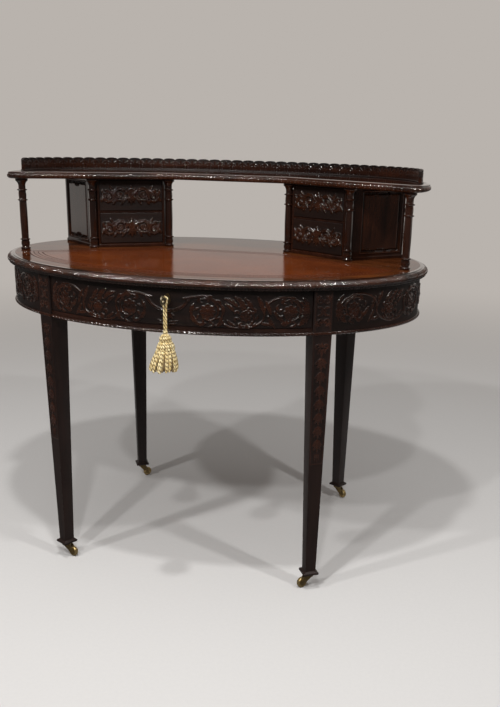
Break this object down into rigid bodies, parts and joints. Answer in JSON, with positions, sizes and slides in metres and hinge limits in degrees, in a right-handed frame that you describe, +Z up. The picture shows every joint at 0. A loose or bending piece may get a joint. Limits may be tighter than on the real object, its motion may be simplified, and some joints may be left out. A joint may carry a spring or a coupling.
{
  "type": "oval writing desk",
  "caption": "Oval pedestal-topped writing desk in carved mahogany with a leather inset, a crescent shelf with a gallery, a locking frieze drawer, a tasselled key and castored tapered legs.",
  "frame": {"origin": "on the floor, under the middle of the desk's box with the key in its lock and without the tassel, which is 12.45 mm in front of the middle of the oval top", "axes": "+Z up, +X to the right of someone who sits at the desk, and -Y towards that person, the way the frieze drawer opens"},
  "size_m": [1.08, 0.8129, 0.9868],
  "materials": {
    "polished_top": "french-polished red mahogany, glossy",
    "leather": "waxed tan-brown hide with tooled border lines, glossy",
    "carved_mahogany": "carved dark mahogany, waxed",
    "plain_mahogany": "plain dark mahogany, polished",
    "turned_mahogany": "turned dark mahogany, polished",
    "leg_mahogany": "dark mahogany, waxed",
    "drawer_lining": "plain planed timber, unpolished",
    "old_brass": "old toned brass",
    "wheel_brass": "old brass, rubbed bright on the tread",
    "key_brass": "handled brass",
    "tassel_silk": "straw-yellow twisted silk cord"
  },
  "bodies": {
    "desk": {"top_board": "polished_top", "leather_inset": "leather", "back_frieze": "carved_mahogany", "left_frieze": "carved_mahogany", "right_frieze": "carved_mahogany", "front_rail": "carved_mahogany", "drawer_runner_left": "drawer_lining", "drawer_runner_right": "drawer_lining", "leg_front_left": "leg_mahogany", "leg_front_right": "leg_mahogany", "leg_back_left": "leg_mahogany", "leg_back_right": "leg_mahogany", "castor_plate_front_left": "old_brass", "castor_plate_front_right": "old_brass", "castor_plate_back_left": "old_brass", "castor_plate_back_right": "old_brass", "pedestal_left": "plain_mahogany", "pedestal_right": "plain_mahogany", "side_panel_left": "plain_mahogany", "side_panel_right": "plain_mahogany", "column_left_outer": "turned_mahogany", "column_left_middle": "turned_mahogany", "column_left_inner": "turned_mahogany", "column_right_outer": "turned_mahogany", "column_right_middle": "turned_mahogany", "column_right_inner": "turned_mahogany", "shelf": "plain_mahogany", "gallery": "carved_mahogany"},
    "frieze_drawer": {"drawer_front": "carved_mahogany", "drawer_side_left": "drawer_lining", "drawer_side_right": "drawer_lining", "drawer_back": "drawer_lining", "drawer_bottom": "drawer_lining", "drawer_lock": "old_brass", "keyhole_plate": "old_brass"},
    "bolt": {"lock_bolt": "old_brass"},
    "turning_key": {"key": "key_brass"},
    "hanging_tassel": {"tassel_cord": "tassel_silk", "tassel": "tassel_silk"},
    "small_drawer_left_lower": {"small_front_left_lower": "carved_mahogany", "small_tray_left_lower": "drawer_lining"},
    "small_drawer_left_upper": {"small_front_left_upper": "carved_mahogany", "small_tray_left_upper": "drawer_lining"},
    "small_drawer_right_lower": {"small_front_right_lower": "carved_mahogany", "small_tray_right_lower": "drawer_lining"},
    "small_drawer_right_upper": {"small_front_right_upper": "carved_mahogany", "small_tray_right_upper": "drawer_lining"},
    "castor_front_left": {"castor_horn_front_left": "old_brass", "castor_axle_front_left": "old_brass"},
    "castor_front_right": {"castor_horn_front_right": "old_brass", "castor_axle_front_right": "old_brass"},
    "castor_back_left": {"castor_horn_back_left": "old_brass", "castor_axle_back_left": "old_brass"},
    "castor_back_right": {"castor_horn_back_right": "old_brass", "castor_axle_back_right": "old_brass"},
    "wheel_front_left": {"castor_wheel_front_left": "wheel_brass"},
    "wheel_front_right": {"castor_wheel_front_right": "wheel_brass"},
    "wheel_back_left": {"castor_wheel_back_left": "wheel_brass"},
    "wheel_back_right": {"castor_wheel_back_right": "wheel_brass"}
  },
  "joints": [
    {"name": "frieze_drawer_slide", "type": "slide", "parent": "desk", "child": "frieze_drawer", "axis": [0, -1, 0], "range_m": [0, 0.3]},
    {"name": "key_turn", "type": "hinge", "parent": "frieze_drawer", "child": "turning_key", "pos_m": [0, -0.37655, 0.716], "axis": [0, -1, 0], "range_deg": [-180, 0]},
    {"name": "bolt_slide", "type": "slide", "parent": "frieze_drawer", "child": "bolt", "axis": [0, 0, -1], "range_m": [-0.005, 0]},
    {"name": "tassel_swing", "type": "hinge", "parent": "frieze_drawer", "child": "hanging_tassel", "pos_m": [0, -0.37655, 0.716], "axis": [0, -1, 0], "range_deg": [-20, 20]},
    {"name": "small_drawer_left_lower_slide", "type": "slide", "parent": "desk", "child": "small_drawer_left_lower", "axis": [0.5314, -0.8471, 0], "range_m": [0, 0.11]},
    {"name": "small_drawer_left_upper_slide", "type": "slide", "parent": "desk", "child": "small_drawer_left_upper", "axis": [0.5314, -0.8471, 0], "range_m": [0, 0.11]},
    {"name": "small_drawer_right_lower_slide", "type": "slide", "parent": "desk", "child": "small_drawer_right_lower", "axis": [-0.5314, -0.8471, 0], "range_m": [0, 0.11]},
    {"name": "small_drawer_right_upper_slide", "type": "slide", "parent": "desk", "child": "small_drawer_right_upper", "axis": [-0.5314, -0.8471, 0], "range_m": [0, 0.11]},
    {"name": "swivel_front_left", "type": "hinge", "parent": "desk", "child": "castor_front_left", "pos_m": [-0.3177, -0.26094, 0.0372], "axis": [0, 0, 1], "continuous": true},
    {"name": "swivel_front_right", "type": "hinge", "parent": "desk", "child": "castor_front_right", "pos_m": [0.3177, -0.26094, 0.0372], "axis": [0, 0, 1], "continuous": true},
    {"name": "swivel_back_left", "type": "hinge", "parent": "desk", "child": "castor_back_left", "pos_m": [-0.3177, 0.28584, 0.0372], "axis": [0, 0, 1], "continuous": true},
    {"name": "swivel_back_right", "type": "hinge", "parent": "desk", "child": "castor_back_right", "pos_m": [0.3177, 0.28584, 0.0372], "axis": [0, 0, 1], "continuous": true},
    {"name": "roll_front_left", "type": "hinge", "parent": "castor_front_left", "child": "wheel_front_left", "pos_m": [-0.30186, -0.25871, 0.01333], "axis": [-0.1392, 0.9903, 0], "continuous": true},
    {"name": "roll_front_right", "type": "hinge", "parent": "castor_front_right", "child": "wheel_front_right", "pos_m": [0.30232, -0.26535, 0.01333], "axis": [0.2756, -0.9613, 0], "continuous": true},
    {"name": "roll_back_left", "type": "hinge", "parent": "castor_back_left", "child": "wheel_back_left", "pos_m": [-0.30287, 0.29183, 0.01333], "axis": [-0.3746, 0.9272, 0], "continuous": true},
    {"name": "roll_back_right", "type": "hinge", "parent": "castor_back_right", "child": "wheel_back_right", "pos_m": [0.33335, 0.28251, 0.01333], "axis": [0.2079, 0.9781, 0], "continuous": true}
  ],
  "couplings": [
    {"joint": "key_turn", "follows": "bolt_slide", "rad_per_m": 628.32}
  ]
}
